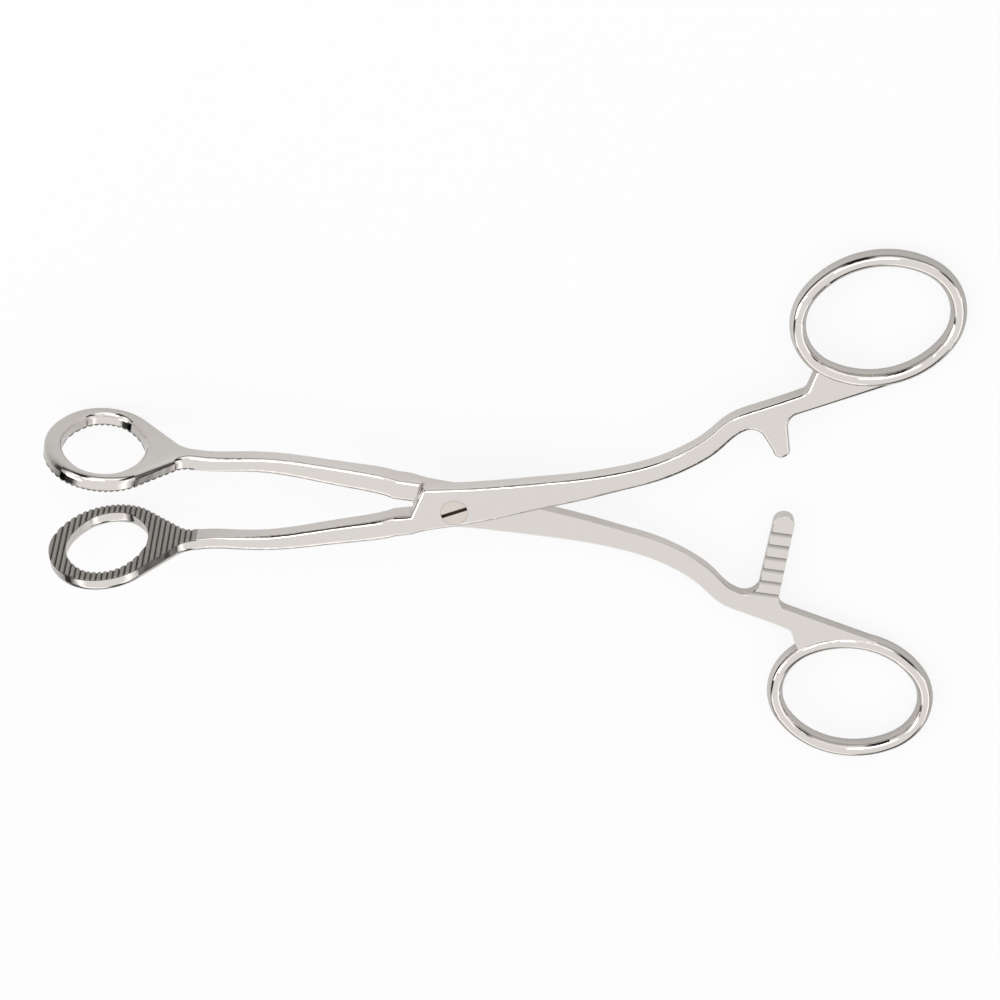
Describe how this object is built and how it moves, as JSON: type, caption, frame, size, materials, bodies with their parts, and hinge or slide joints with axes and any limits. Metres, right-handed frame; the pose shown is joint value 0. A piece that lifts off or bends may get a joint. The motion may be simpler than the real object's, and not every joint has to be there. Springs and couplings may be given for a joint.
{
  "type": "seizing forceps",
  "caption": "Ring-handled seizing forceps with oval windowed jaws serrated inside, a slotted-screw lap joint, S-bent handles and a ratchet bar, part open.",
  "frame": {"origin": "on the pivot axis, at the flat underside of the lap joint", "axes": "+X along the instrument to the jaw tips, -X to the finger rings, +Z along the pivot axis to the screw's slotted head, +Y to the side of the jaw that belongs to the front half"},
  "size_m": [0.1618, 0.1054, 0.0268],
  "materials": {
    "forged_steel": "polished, with satin flats and bright edges",
    "screw_steel": "satin, ground flush"
  },
  "bodies": {
    "rear": {"rear_half": "forged_steel", "pivot_screw": "screw_steel"},
    "front": {"front_half": "forged_steel"}
  },
  "joints": [
    {"name": "lap_joint", "type": "hinge", "parent": "rear", "child": "front", "pos_m": [0, 0, 0.003], "axis": [0, 0, 1], "range_deg": [-15.6, 14.4]}
  ]
}
